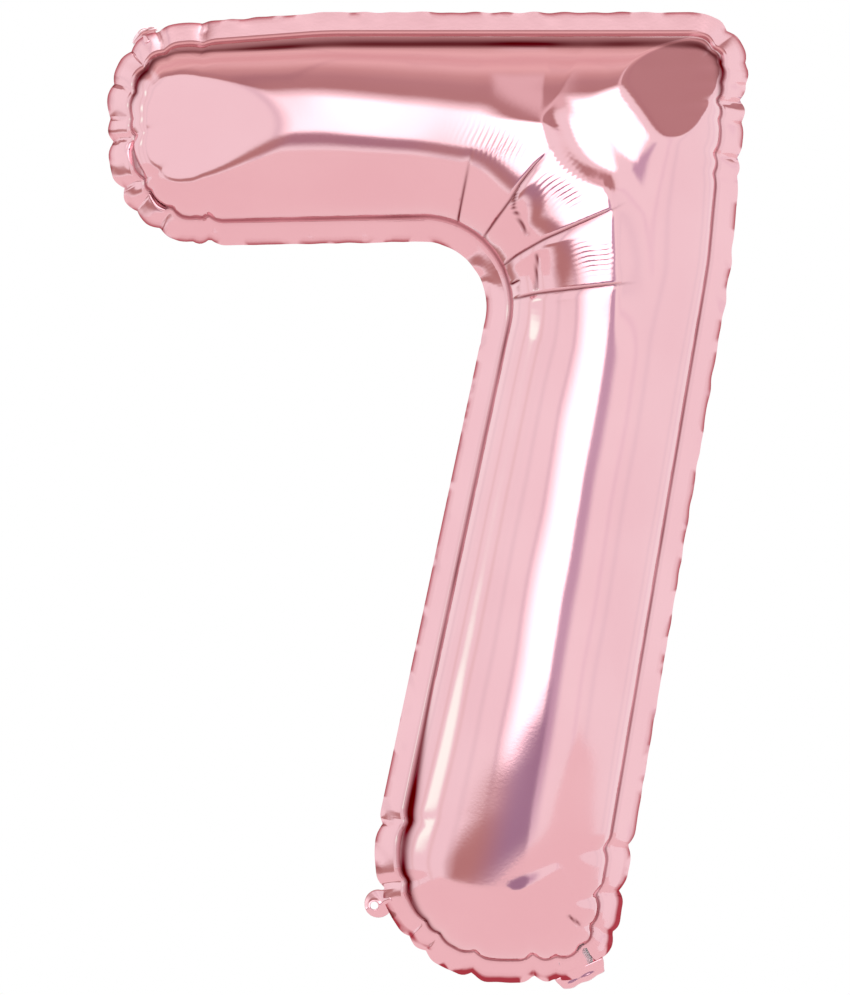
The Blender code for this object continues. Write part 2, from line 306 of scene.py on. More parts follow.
# The ridge that runs round the corner from the bar's crown to the stem's. Outside it the film steps down
RIDGE = (
    (0.1350, 0.3190), (0.1600, 0.3165), (0.1745, 0.3085), (0.1830, 0.2960), (0.1868, 0.2820),
    (0.1880, 0.2600), (0.1860, 0.2300),
)
RIDGE_STEP, RIDGE_WIDTH, RIDGE_FADE = 0.110, 0.012, 0.30

# Flat places that the tight film makes at the outer corner and the bar's end: place, direction of fall,
# height there, slope, reach and roundness of the border
FLATS = (
    ((0.1880, 0.3180), (0.62, 0.785), 0.0340, 0.12, 0.018, 0.0007),
    ((0.2014, 0.3190), (0.78, 0.626), 0.0314, 0.54, 0.050, 0.0007),
    ((0.0600, 0.3180), (-0.99, -0.141), 0.0287, 0.31, 0.060, 0.0014),
)

# Sharp folds, alike in both films: points of the fold line, depth, half width on the left and on the right of
# the line, and the share of its length over which it fades in at its start and out at its end
SHARP_FOLDS = (
    (((0.1346, 0.3078), (0.1327, 0.2978), (0.1290, 0.2792)), 0.0005, 0.0012, 0.0030, 0.6, 0.15),
    (((0.1654, 0.3085), (0.1580, 0.3015), (0.1520, 0.2940), (0.1487, 0.2885), (0.1428, 0.2807),
      (0.1372, 0.2733)), 0.0006, 0.0030, 0.0012, 0.35, 0.15),
    (((0.1510, 0.2935), (0.1496, 0.2857), (0.1554, 0.2748)), 0.0005, 0.0011, 0.0015, 0.15, 0.1),
    (((0.1920, 0.2880), (0.1865, 0.2851), (0.1750, 0.2800), (0.1609, 0.2740), (0.1509, 0.2685),
      (0.1435, 0.2636)), 0.0007, 0.0034, 0.0012, 0.35, 0.15),
    (((0.1583, 0.2696), (0.1580, 0.2622), (0.1580, 0.2551)), 0.0007, 0.0017, 0.0017, 0.1, 0.1),
    (((0.1960, 0.2583), (0.1917, 0.2581), (0.1795, 0.2566), (0.1580, 0.2544), (0.1472, 0.2525)),
     0.0006, 0.0030, 0.0011, 0.35, 0.15),
    (((0.1483, 0.2581), (0.1524, 0.2599)), 0.0004, 0.0012, 0.0020, 0.3, 0.3),
    (((0.0133, 0.2933), (0.0230, 0.2851)), 0.0008, 0.0016, 0.0030, 0.3, 0.3),
    (((0.0074, 0.3130), (0.0096, 0.3052), (0.0130, 0.2978)), 0.0018, 0.0020, 0.0030, 0.2, 0.2),
    (((0.1695, 0.0271), (0.1761, 0.0219)), 0.0007, 0.0012, 0.0030, 0.3, 0.3),
)

# Fine ripples where the film is pressed together inside the ridge: middle, reach across and along the
# ripples, their direction, spacing and depth
RIPPLES = (
    ((0.1465, 0.3085), 0.0100, 0.0052, (0.30, 0.95), 0.0019, 0.00014),
    ((0.1680, 0.2940), 0.0095, 0.0052, (0.78, 0.62), 0.0019, 0.00011),
    ((0.1800, 0.2690), 0.0062, 0.0046, (0.98, 0.20), 0.0018, 0.00011),
)

PLEAT_GAIN = 1.3  # how much deeper than its own depth each pleat draws the edge in
PLEAT_HALF, PLEAT_FADE = 0.0055, 0.006  # its half width, and how far in from the seam it fades
PLEAT_REACH, PLEAT_STEP_REACH = 0.04, 0.02  # no pleat acts further along its line than this
EDGE_WOBBLE, EDGE_WOBBLE_SPACING = 0.00022, 0.009  # unevenness of the cut edge

# Pleats gathered at the seam: the place on the outline, a place inwards from it, and the depth
PLEATS = (
    ((0.0352, 0.3556), (0.0352, 0.3422), 0.0008),
    ((0.0182, 0.3530), (0.0222, 0.3415), 0.0010),
    ((0.0104, 0.3430), (0.0163, 0.3356), 0.0010),
    ((0.0022, 0.3333), (0.0119, 0.3289), 0.0012),
    ((0.0000, 0.3207), (0.0100, 0.3200), 0.0007),
    ((0.0015, 0.3118), (0.0119, 0.3141), 0.0020),
    ((0.0037, 0.2940), (0.0137, 0.2978), 0.0018),
    ((0.0100, 0.2851), (0.0163, 0.2940), 0.0010),
    ((0.0182, 0.2788), (0.0237, 0.2866), 0.0012),
    ((0.0308, 0.2729), (0.0326, 0.2822), 0.0008),
    ((0.0378, 0.2744), (0.0371, 0.2848), 0.0018),
    ((0.1012, 0.0586), (0.1120, 0.0604), 0.0014),
    ((0.1005, 0.0345), (0.1083, 0.0375), 0.0014),
    ((0.1094, 0.0145), (0.1157, 0.0215), 0.0010),
    ((0.1183, 0.0122), (0.1231, 0.0197), 0.0012),
    ((0.1350, 0.0044), (0.1357, 0.0141), 0.0016),
    ((0.1580, 0.0026), (0.1572, 0.0122), 0.0020),
    ((0.1657, 0.0007), (0.1661, 0.0104), 0.0012),
    ((0.1824, 0.0067), (0.1769, 0.0122), 0.0010),
    ((0.1873, 0.0185), (0.1795, 0.0215), 0.0014),
    ((0.1921, 0.0345), (0.1824, 0.0334), 0.0018),
    ((0.1928, 0.0508), (0.1832, 0.0504), 0.0014),
    ((0.2347, 0.3408), (0.2277, 0.3400), 0.0010),
    ((0.2369, 0.3278), (0.2292, 0.3267), 0.0020),
    ((0.2366, 0.3333), (0.2299, 0.3330), 0.0008),
    ((0.2373, 0.3193), (0.2292, 0.3193), 0.0008),
    ((0.2355, 0.3059), (0.2277, 0.3067), 0.0012),
    ((0.2347, 0.2992), (0.2262, 0.2996), 0.0008),
    ((0.2303, 0.3541), (0.2247, 0.3467), 0.0012),
)


class Film:
    """One film as arrays: flat places, height over the middle plane, depth in from the seam, and faces."""

    def __init__(self, stroke, rows, columns):
        across = 0.5 - 0.5 * np.cos(np.pi * np.arange(columns + 1) / columns)
        u, v = (grid.ravel() for grid in np.meshgrid(row_places(rows), across, indexing="ij"))
        inside = stroke.point(u, v)
        height = stroke.height(u, v, inside)
        rim = self.rim_order(rows, columns)
        ahead = inside[np.roll(rim, -1)] - inside[np.roll(rim, 1)]
        outward = np.stack((-ahead[:, 1], ahead[:, 0]), axis=1) / np.linalg.norm(ahead, axis=1)[:, None]
        tilt = np.tan(FLANGE_TILT) * (1.0 - FLANGE_TOP_LESS * smooth((outward[:, 1] - 0.55) / 0.3))
        self.lean = np.concatenate([np.zeros(len(inside))]
                                   + [tilt * SEAM * k / FLANGE_RINGS for k in range(1, FLANGE_RINGS + 1)])
        rings = [inside[rim] + outward * SEAM * k / FLANGE_RINGS for k in range(1, FLANGE_RINGS + 1)]
        self.flat = np.concatenate([inside, *rings])
        self.height = np.concatenate([height, np.zeros(len(rim) * FLANGE_RINGS)])
        self.inside = np.arange(len(self.flat)) < len(inside)
        self.faces = grid_faces(rows, columns) + self.flange_faces(rim, len(inside))
        seam = Line(np.concatenate((inside[rim][::4], inside[rim][:1])))
        self.depth = seam.measure(self.flat)[0] * np.where(self.inside, 1.0, -1.0)

    @staticmethod
    def rim_order(rows, columns):
        """The grid's edge points, clockwise seen from the front."""
        at = np.arange((rows + 1) * (columns + 1)).reshape(rows + 1, columns + 1)
        return np.concatenate((at[:-1, -1], at[-1, :0:-1], at[:0:-1, 0], at[0, :-1]))

    @staticmethod
    def flange_faces(rim, first):
        """Quads between the grid's edge and the flange's rings, whose points start at first."""
        count = len(rim)
        rings = [rim] + [first + k * count + np.arange(count) for k in range(FLANGE_RINGS)]
        quads = [np.stack((a, np.roll(a, -1), np.roll(b, -1), b), axis=1)
                 for a, b in zip(rings, rings[1:])]
        return np.concatenate(quads).tolist()

    def beside_flaps(self):
        """1 beside a flap's root and 0 away from it."""
        away_from_all = np.ones(len(self.flat))
        for fold in FOLDS.values():
            away = np.linalg.norm(self.flat - (fold.place - SHIFT)[[0, 2]], axis=1)
            wide = FLAP_ROOM + (0.5 * NECK_WIDTH if fold.child == "neck" else 0.0)
            away_from_all *= smooth((away - wide) / wide)
        return 1.0 - away_from_all

    def valve_room(self):
        """How much further out the film lies over the valve."""
        fold = FOLDS["neck_fold"]
        offset = self.flat - (fold.place - SHIFT)[[0, 2]]
        sideways = np.abs(offset @ fold.along[[0, 2]])
        inwards = -offset @ fold.outward[[0, 2]]
        beside = 1.0 - smooth((sideways - VALVE_HALF) / VALVE_FADE)
        return VALVE_ROOM * beside * (1.0 - smooth((inwards - VALVE_REACH) / VALVE_FADE))

    def space(self, facing):
        """Points in space, with y from the middle plane."""
        crumple = CRUMPLE * ripple(self.flat, CRUMPLE_SPACING, 8) * self.beside_flaps()
        crumple = crumple * smooth(-self.depth / SEAM)
        y = self.lean + crumple + facing * (self.height + HALF_GAP + self.valve_room())
        return np.stack((self.flat[:, 0], y, self.flat[:, 1]), axis=1)


def film_mesh(name, points, faces, facing):
    """A smooth mesh whose faces look towards -Y if facing is -1, or +Y if it is 1."""
    mesh = bpy.data.meshes.new(name)
    mesh.from_pydata(points.tolist(), [], faces)
    mesh.update()
    total = sum(polygon.normal.y for polygon in mesh.polygons)
    if total * facing < 0:
        mesh.flip_normals()
    mesh.shade_smooth()
    return mesh


def point_normals(mesh):
    normals = np.empty(len(mesh.vertices) * 3)
    mesh.vertex_normals.foreach_get("vector", normals)
    return normals.reshape(-1, 3)


def facet(film, place, direction, height, slope, reach, blend):
    """Cut the film flat along a plane that falls away in one direction, within reach of a place."""
    plane = height - slope * (film.flat - np.array(place)) @ np.array(direction)
    over = np.maximum(blend - np.abs(film.height - plane), 0.0)
    lower = np.minimum(film.height, plane) - over * over / (4.0 * blend)
    cut = np.where(film.inside, np.maximum(np.minimum(lower, film.height), 0.0), 0.0)
    away = np.linalg.norm(film.flat - np.array(place), axis=1)
    film.height += (cut - film.height) * (1.0 - smooth((away - reach) / (0.6 * reach)))


def fold_depth(film):
    """How far folds and ripples draw each point in, and how deep in a fold it lies (0 to 1), its share of
    painted shade.
    """
    total = np.zeros(len(film.flat))
    deep = np.zeros(len(film.flat))
    for line, depth, left, right, fade_in, fade_out in SHARP_FOLDS:
        away, share, side = Line(line).measure(film.flat)
        ends = smooth(share / fade_in) * smooth((1.0 - share) / fade_out)
        total += depth * cusp(away / np.where(side > 0, left, right)) * ends
        # painted shade along each fold's line
        deep = np.maximum(deep, np.exp(-(away / CREASE_LINE) ** 2) * ends)
    for middle, across, along, direction, spacing, depth in RIPPLES:
        offset = film.flat - np.array(middle)
        forward = offset @ np.array(direction)
        sideways = offset @ np.array((-direction[1], direction[0]))
        fade = np.exp(-(sideways / across) ** 2 - (forward / along) ** 2)
        bend = 0.25 * spacing * np.sin(forward / along * 2.1)
        total += depth * fade * np.sin(2.0 * math.pi * (sideways + bend) / spacing)
    return total, deep


def seam_depth(film):
    """How deep each point lies in the groove between the flange and the film's wall (0 to 1): its share of
    painted shade along the seam.
    """
    top = smooth((film.flat[:, 1] - TOP_FROM) / TOP_FADE)
    wide = top
    for place, far in DEEP_SEAMS:
        wide = np.maximum(wide, 1.0 - smooth(np.linalg.norm(film.flat - place, axis=1) / far))
    reach = SEAM_LINE * (1.0 + SEAM_LINE_WIDER * wide)
    wander = 0.85 + 0.15 * ripple(film.flat, 0.030, 21)
    groove = np.exp(-((film.depth - (SEAM_LINE_IN + SEAM_LINE_TOP_IN * top) * reach) / reach) ** 2)
    return np.clip(groove * wander * (SEAM_LINE_FAINT + SEAM_LINE_STRONGER * wide), 0.0, 1.0)


def edge_painted_reflection(film):
    """How much painted red reflection each point gets along the cut edge: up to 1, and up to 2 at the foot,
    where it is redder.
    """
    rise = FOOT_EDGE_RISE * np.maximum(film.flat[:, 0] - FOOT_EDGE_RISE_FROM, 0.0)
    foot = 1.0 - smooth((film.flat[:, 1] - FOOT_EDGE - rise) / FOOT_EDGE_FADE)
    line = EDGE_LINE * (1.0 + FOOT_EDGE_WIDER * foot)
    return smooth((-film.depth - SEAM + line) / line) * (1.0 + foot)


def step_down(film):
    """The corner outside its ridge lies lower than the ridge."""
    away, share, side = Line(RIDGE).measure(film.flat)
    ends = smooth(share / RIDGE_FADE) * smooth((1.0 - share) / RIDGE_FADE)
    outside = np.where(side > 0, 1.0 - (1.0 - np.clip(away / RIDGE_WIDTH, 0.0, 1.0)) ** 1.7, 0.0)
    film.height *= 1.0 - RIDGE_STEP * outside * ends


def add_pleats(film, space):
    """Gather the seam: the flange and the wall beside it move in along each pleat, and the flange steps."""
    for outer, inner, depth in PLEATS:
        line = Line((outer, inner))
        inward = (line.points[1] - line.points[0]) / line.lengths[-1]
        offset = film.flat - line.points[0]
        along = offset @ inward
        across = offset[:, 0] * -inward[1] + offset[:, 1] * inward[0]
        near = np.exp(-np.maximum(film.depth, 0.0) / PLEAT_FADE) * (along < PLEAT_REACH)
        valley = cusp(np.abs(across) / PLEAT_HALF) * near
        space[:, 0] += PLEAT_GAIN * inward[0] * depth * valley
        space[:, 2] += PLEAT_GAIN * inward[1] * depth * valley
        flange = smooth(-film.depth / SEAM) * (along < PLEAT_STEP_REACH)
        space[:, 1] += 0.5 * depth * np.sign(across) * cusp(np.abs(across) / 0.006) * flange
    wobble_edge(film, space)


def wobble_edge(film, space):
    """Make the cut edge a little uneven, less so to the front and back along the bar's top."""
    wobble = EDGE_WOBBLE * ripple(film.flat, EDGE_WOBBLE_SPACING, 31) * smooth(-film.depth / SEAM) ** 2
    middle = film.flat.mean(axis=0)
    away = film.flat - middle
    away /= np.linalg.norm(away, axis=1)[:, None]
    space[:, 0] += away[:, 0] * wobble
    space[:, 2] += away[:, 1] * wobble
    space[:, 1] += wobble * (1.0 - 0.7 * smooth((film.flat[:, 1] - 0.345) / TOP_FADE))


def make_film(name, facing, seed):
    """One of the balloon's two films with its flange, at its place in space."""
    film = Film(STROKE, ROWS, COLUMNS)
    step_down(film)
    for flat_place in FLATS:
        facet(film, *flat_place)
    base = film.space(facing)
    mesh = film_mesh(name, base, film.faces, facing)
    normals = point_normals(mesh)
    sunk, deep = fold_depth(film)
    uneven = SWELL * ripple(film.flat, SWELL_SPACING, seed)
    uneven += DIMPLE * ripple(film.flat, DIMPLE_SPACING, seed + 1)
    sunk += smooth(film.depth / BODY_FROM) * uneven
    space = base - normals * sunk[:, None]
    add_pleats(film, space)
    mesh.vertices.foreach_set("co", (space + SHIFT).ravel())
    mesh.update()
    # painted shade in the folds and by the seam, and the share of painted red reflection along the cut edge,
    # for the material
    deep = np.maximum(deep, seam_depth(film))
    for attribute, values in (("deep", deep), ("edge_painted_reflection", edge_painted_reflection(film))):
        mesh.attributes.new(attribute, "FLOAT", "POINT").data.foreach_set("value", values)
    return link_piece(name, mesh)


# ---------------------------------------------------------------- flaps

BACK = np.array((0.0, 1.0, 0.0))
NECK_WIDTH, NECK_LENGTH, NECK_ROOT = 0.016, 0.030, 0.0045
NECK_TIP = 0.003  # radius of the neck's outer corners, and how far short of its end the valve stops
NECK_FLARE, NECK_FLARE_REACH = 0.22, 0.006  # share by which it is wider at its root
NECK_CREASE, NECK_CREASE_SPACING = 0.00022, 0.011
NECK_GATHER, NECK_GATHER_SPACING = 0.00030, 0.0011  # crumples just outside the fold
NECK_GATHER_AT, NECK_GATHER_REACH = 0.0016, 0.0022
NECK_PUFF = 0.0009  # how far the neck's films stand apart round the valve
NECK_CURL = math.radians(9)
VALVE_WIDTH, VALVE_INSIDE = 0.012, 0.040
VALVE_NARROWER = 0.12  # share by which it is narrower at its inner end
VALVE_LAYER = 0.00016  # from the middle plane to a valve's film
VALVE_OPEN, VALVE_OPEN_FROM, VALVE_OPEN_FADE = 0.0006, 0.018, 0.02  # how its films part in the balloon
TAB_RADIUS, TAB_CENTRE, TAB_HOLE_AT, TAB_HOLE_R = 0.0052, 0.0014, 0.0031, 0.0015
TAB_ROOT, TAB_ROOT_HALF = 0.0026, 0.0042
TAB_LAYER = 0.00036  # from the middle plane to a tab's or the neck's film
TAB_BEAD, TAB_BEAD_AT, TAB_BEAD_HALF = 0.00012, 0.0005, 0.0003  # thicker film round the hole
TAB_WAVE = 0.00010
TAB_ROLL, TAB_RIDGE = 0.34, 0.0006  # how steeply a tab's sides turn back, and the roundness of its ridge
FOLD_BEND = 0.0014  # length of film in the bend
FILM_THICKNESS = 0.00012


class Fold:
    """A flap's fold at rest. Local x is the distance outwards from the fold, y along it, t to the front."""

    def __init__(self, name, degrees, gap, lean):
        """It turns the flap back by degrees, a gap outside the flange, which leans by a share of its tilt."""
        self.from_seam = SEAM + gap
        self.lean = lean * math.tan(FLANGE_TILT)
        joint = next(j for j in frame["joints"] if j["name"] == name)
        self.child = joint["child"]
        self.place = np.array(joint["pos_m"])
        self.along = -np.array(joint["axis"])
        self.outward = np.array((self.along[2], 0.0, -self.along[0]))
        self.angle = math.radians(degrees)
        self.flap = self.outward * math.cos(self.angle) + BACK * math.sin(self.angle)
        self.across = (self.outward + self.flap) / np.linalg.norm(self.outward + self.flap)

    def bend(self, x, y, t, curl=0.0):
        """Points of a film that lies flat up to the fold and turns back over it, with a slight curl."""
        reach = np.clip(x / FOLD_BEND + 0.5, 0.0, 1.0)
        turn = self.angle * reach
        if abs(self.angle) > 1e-6:
            radius = FOLD_BEND / self.angle
            out, back = radius * np.sin(turn), radius * (1.0 - np.cos(turn))
        else:
            out, back = FOLD_BEND * reach, np.zeros(len(x))
        flat = np.minimum(x + 0.5 * FOLD_BEND, 0.0)
        after = np.maximum(x - 0.5 * FOLD_BEND, 0.0)
        turn = turn + curl * smooth(after / NECK_LENGTH)
        out = out + flat + after * np.cos(turn) - 0.5 * FOLD_BEND + t * np.sin(turn)
        back = back + after * np.sin(turn) - t * np.cos(turn)
        back = back + self.lean * np.clip(x + self.from_seam, 0.0, self.from_seam)
        return self.place + out[:, None] * self.outward + back[:, None] * BACK + y[:, None] * self.along


def flat_grid(start, end, rows, columns):
    """Distances outwards from start to end, and shares across from -1 to 1, for a grid of points."""
    grids = np.meshgrid(np.linspace(start, end, rows + 1), np.linspace(-1.0, 1.0, columns + 1), indexing="ij")
    return [grid.ravel() for grid in grids]


def sheet_piece(name, points, faces):
    """A thin film through a grid of points."""
    mesh = bpy.data.meshes.new(name)
    mesh.from_pydata(points.tolist(), [], faces)
    mesh.update()
    mesh.shade_smooth()
    piece = link_piece(name, mesh)
    film = piece.modifiers.new("film", "SOLIDIFY")
    film.thickness = FILM_THICKNESS
    film.offset = 0.0
    return piece


def neck_film(side, sign, fold):
    """One film of the neck: sealed along its long edges, puffed apart between them, crumpled at the fold."""
    rows, columns = 70, 26
    x, y = flat_grid(-NECK_ROOT, NECK_LENGTH, rows, columns)
    tip = np.sqrt(np.maximum(1.0 - np.clip((x - NECK_LENGTH + NECK_TIP) / NECK_TIP, 0.0, 1.0) ** 2, 0.0))
    root = 1.0 + NECK_FLARE * (1.0 - smooth((x + NECK_ROOT) / NECK_FLARE_REACH))
    half = 0.5 * NECK_WIDTH * root - NECK_TIP * (1.0 - tip)
    local = np.stack((x, y * half), axis=1)
    puff = (1.0 - y ** 4) * smooth((x + 0.0025) / 0.004)
    creases = NECK_CREASE * np.abs(ripple(local * (1.0, 0.35), NECK_CREASE_SPACING, 5)) * smooth(x / 0.003)
    near = np.exp(-((x - NECK_GATHER_AT) / NECK_GATHER_REACH) ** 2)
    gathers = NECK_GATHER * np.sin(local[:, 1] / NECK_GATHER_SPACING) * near
    t = sign * (TAB_LAYER + NECK_PUFF * puff) + creases + gathers
    return sheet_piece(f"neck_{side}", fold.bend(x, local[:, 1], t, NECK_CURL), grid_faces(rows, columns))


def valve_film(side, sign, fold):
    """One clear film of the valve, from inside the balloon through the neck; it narrows a little inside."""
    rows, columns = 90, 12
    x, y = flat_grid(-VALVE_INSIDE, NECK_LENGTH - NECK_TIP, rows, columns)
    half = 0.5 * VALVE_WIDTH * (1.0 - VALVE_NARROWER * smooth(-x / VALVE_INSIDE))
    open_inside = VALVE_OPEN * smooth((-x - VALVE_OPEN_FROM) / VALVE_OPEN_FADE) * (1.0 - y ** 4)
    t = sign * (VALVE_LAYER + open_inside)
    return sheet_piece(f"valve_{side}", fold.bend(x, y * half, t, NECK_CURL), grid_faces(rows, columns))


def tab_outline(count):
    """Distances from the hole's middle to the tab's edge, one for each of count directions."""
    turns = np.linspace(0.0, 2.0 * math.pi, count, endpoint=False)
    side, ahead = np.sin(turns), np.cos(turns)
    step = TAB_HOLE_AT - TAB_CENTRE
    round_edge = -step * ahead + np.sqrt(TAB_RADIUS ** 2 - (step * side) ** 2)
    to_root = (TAB_HOLE_AT + TAB_ROOT) / np.maximum(-ahead, 1e-3)
    to_side = TAB_ROOT_HALF / np.maximum(np.abs(side), 1e-3)
    return turns, np.where(ahead < 0.0, np.maximum(np.minimum(to_root, to_side), round_edge), round_edge)


def tab_film(name, sign, fold):
    """One film of a round hanging tab: a bead of thicker film round its hole, and a root on the flange."""
    sectors, rings = 72, 9
    turns, edge = tab_outline(sectors)
    share = np.linspace(0.0, 1.0, rings + 1)[:, None]
    far = TAB_HOLE_R + (edge[None, :] - TAB_HOLE_R) * share
    x = (TAB_HOLE_AT + far * np.cos(turns)).ravel()
    y = (far * np.sin(turns)).ravel()
    bead = TAB_BEAD * np.exp(-((far.ravel() - TAB_HOLE_R - TAB_BEAD_AT) / TAB_BEAD_HALF) ** 2)
    wave = TAB_WAVE * np.sin(x / 0.0016 + y / 0.0021) * smooth(x / 0.002)
    t = sign * (TAB_LAYER + bead) + wave - TAB_ROLL * (np.sqrt(y * y + TAB_RIDGE ** 2) - TAB_RIDGE)
    at = np.arange(len(x)).reshape(rings + 1, sectors)
    quads = np.stack((at[:-1], at[1:], np.roll(at[1:], -1, axis=1), np.roll(at[:-1], -1, axis=1)), axis=-1)
    return sheet_piece(name, fold.bend(x, y, t), quads.reshape(-1, 4).tolist())


# ---------------------------------------------------------------- materials


class Nodes:
    """A short way to write node trees."""

    def __init__(self, tree):
        self.tree = tree

    def add(self, kind, **settings):
        node = self.tree.nodes.new(kind)
        for key, value in settings.items():
            setattr(node, key, value)
        return node

    def link(self, source, target):
        self.tree.links.new(source, target)

    def put(self, value, socket):
        if isinstance(value, bpy.types.NodeSocket):
            self.link(value, socket)
        else:
            socket.default_value = value

    def math(self, operation, *values):
        node = self.add("ShaderNodeMath", operation=operation)
        for value, socket in zip(values, node.inputs):
            self.put(value, socket)
        return node.outputs[0]

    def between(self, value, low, high):
        """0 below low, 1 above high, smooth in between."""
        node = self.add("ShaderNodeMapRange", interpolation_type="SMOOTHSTEP")
        self.put(value, node.inputs["Value"])
        node.inputs["From Min"].default_value = low
        node.inputs["From Max"].default_value = high
        return node.outputs[0]

    def outside(self, value, low, high):
        """1 below low, 0 above high, smooth in between."""
        return self.math("SUBTRACT", 1.0, self.between(value, low, high))

    def spread(self, value, low, high):
        """A value from 0 to 1 spread over low to high."""
        node = self.add("ShaderNodeMapRange")
        self.link(value, node.inputs["Value"])
        node.inputs["To Min"].default_value = low
        node.inputs["To Max"].default_value = high
        return node.outputs[0]

    def noise(self, place, scale, detail=2.0):
        node = self.add("ShaderNodeTexNoise")
        node.inputs["Scale"].default_value = scale
        node.inputs["Detail"].default_value = detail
        self.link(place, node.inputs["Vector"])
        return node.outputs["Fac"]

    def attribute(self, name):
        return self.add("ShaderNodeAttribute", attribute_name=name).outputs["Fac"]

    def mix(self, share, first, second, blend="MIX"):
        node = self.add("ShaderNodeMix", data_type="RGBA", blend_type=blend)
        self.put(share, node.inputs[0])
        self.put(first, node.inputs[6])
        self.put(second, node.inputs[7])
        return node.outputs[2]


WHITE = (1.0, 1.0, 1.0, 1.0)
FOIL_DARK, FOIL_LIGHT = (0.885, 0.532, 0.578, 1.0), (0.905, 0.560, 0.604, 1.0)
FOIL_SHADE_PAINT = (0.20, 0.04, 0.05, 1.0)  # painted shade deep in a fold and by the seam, where light bounces between the films
FOIL_EDGE_REFLECTION_PAINT = (0.42, 0.05, 0.07, 1.0)  # painted red reflection of the film in itself, along the cut edge
FOIL_ROUGH = (0.07, 0.13)
TINT_SCALE, PATCH_SCALE, GRAIN_SCALE = 22.0, 75.0, 900.0
PATCHES = (0.44, 0.52)  # levels between which a patch of the cut edge's painted red reflection starts
GRAIN_STRENGTH, GRAIN_DEPTH = 0.02, 0.0004
CLEAR_COLOUR, CLEAR_ROUGH, CLOUD_SCALE = (0.93, 0.92, 0.94, 1.0), (0.18, 0.34), 260.0


def new_material(name):
    """A material with its shader and a short way to its nodes."""
    material = bpy.data.materials.new(name)
    material.use_nodes = True
    return material, material.node_tree.nodes["Principled BSDF"], Nodes(material.node_tree)


def foil_material(name):
    """Metallised film, with painted shade in its folds and by its seam, and a painted red reflection in
    patches along its cut edge.
    """
    material, shader, nodes = new_material(name)
    shader.inputs["Metallic"].default_value = 1.0
    place = nodes.add("ShaderNodeTexCoord").outputs["Object"]
    tint = nodes.noise(place, TINT_SCALE, 3.0)
    # painted shade in the folds and by the seam
    deep = nodes.attribute("deep")
    # the cut edge's painted red reflection, in patches
    red = nodes.math("MULTIPLY", nodes.attribute("edge_painted_reflection"),
                     nodes.between(nodes.noise(place, PATCH_SCALE), *PATCHES))
    foil = nodes.mix(nodes.between(tint, 0.3, 0.7), FOIL_DARK, FOIL_LIGHT)
    # painted shade and painted reflection go into the base colour and the specular tint alike
    for plain, socket in ((foil, "Base Color"), (WHITE, "Specular Tint")):
        with_painted_light = nodes.mix(red, nodes.mix(deep, plain, FOIL_SHADE_PAINT), FOIL_EDGE_REFLECTION_PAINT)
        nodes.link(with_painted_light, shader.inputs[socket])
    nodes.link(nodes.spread(tint, *FOIL_ROUGH), shader.inputs["Roughness"])
    bump = nodes.add("ShaderNodeBump")
    bump.inputs["Strength"].default_value = GRAIN_STRENGTH
    bump.inputs["Distance"].default_value = GRAIN_DEPTH
    nodes.link(nodes.noise(place, GRAIN_SCALE, 4.0), bump.inputs["Height"])
    nodes.link(bump.outputs["Normal"], shader.inputs["Normal"])
    return material


def clear_material(name):
    """Milky clear plastic of the valve."""
    material, shader, nodes = new_material(name)
    shader.inputs["Base Color"].default_value = CLEAR_COLOUR
    shader.inputs["Transmission Weight"].default_value = 0.8
    shader.inputs["IOR"].default_value = 1.45
    cloud = nodes.noise(nodes.add("ShaderNodeTexCoord").outputs["Object"], CLOUD_SCALE)
    nodes.link(nodes.spread(cloud, *CLEAR_ROUGH), shader.inputs["Roughness"])
    return material


# ---------------------------------------------------------------- stage

CAMERA_DISTANCE = 2.049
LENS = 200.0
FAR_END = 50.0
VIEW_MIDDLE = (0.1175, 0.1800)
FLOOR_DROP = 0.75  # from the digit's lowest edge down to the floor
FLOOR_HALF = (3, 2)
FLOOR_COLOUR, FLOOR_GLOW, FLOOR_GLOW_STRENGTH = (0.84, 0.83, 0.84, 1.0), (1.0, 0.99, 0.99, 1.0), 0.25


def add_camera():
    camera = bpy.data.objects.new("camera", bpy.data.cameras.new("camera"))
    camera.data.lens = LENS
    camera.data.clip_end = FAR_END
    middle = Vector((VIEW_MIDDLE[0], 0.0, VIEW_MIDDLE[1])) + Vector(SHIFT)
    camera.location = middle - Vector((0.0, CAMERA_DISTANCE, 0.0))
    camera.rotation_euler = (0.5 * math.pi, 0.0, 0.0)
    bpy.context.scene.collection.objects.link(camera)
    bpy.context.scene.camera = camera


# Light from each height over the level, in front and behind alike: degrees and colour
SURROUNDINGS = (
    (-90, (1.00, 1.00, 1.00)), (26, (1.00, 1.00, 1.01)), (34, (0.97, 0.93, 0.93)), (40, (0.50, 0.31, 0.30)),
    (56, (0.53, 0.34, 0.34)), (68, (0.66, 0.45, 0.43)), (80, (0.88, 0.68, 0.65)), (90, (0.80, 0.56, 0.55)),
)
# Soft-edged areas in the surroundings: where each edge starts and ends, in degrees across and up, and colours
SOFT_LIGHT = ((-24, -5), (12, 16), (-11, -7), (26, 34))
SOFT_LIGHT_COLOUR = (2.1, 2.05, 2.1)
DARK_TABLE = ((-58, -38), (17, 21), (-27, -18), (-11, -6))
DARK_STAND = ((13.5, 15.5), (22, 31), (-24, -12), (3, 8))
CEILING_LIGHT = ((2, 13), (20, 27), (33, 38), (66, 80))
CEILING_LIGHT_COLOUR = (0.85, 0.70, 0.70)
DARK_LEFT, DARK_RIGHT, DARK_CHANGE = (0.50, 0.30, 0.28), (0.38, 0.28, 0.41), (-30.0, 5.0)
STAND_COLOUR = (0.62, 0.52, 0.66)
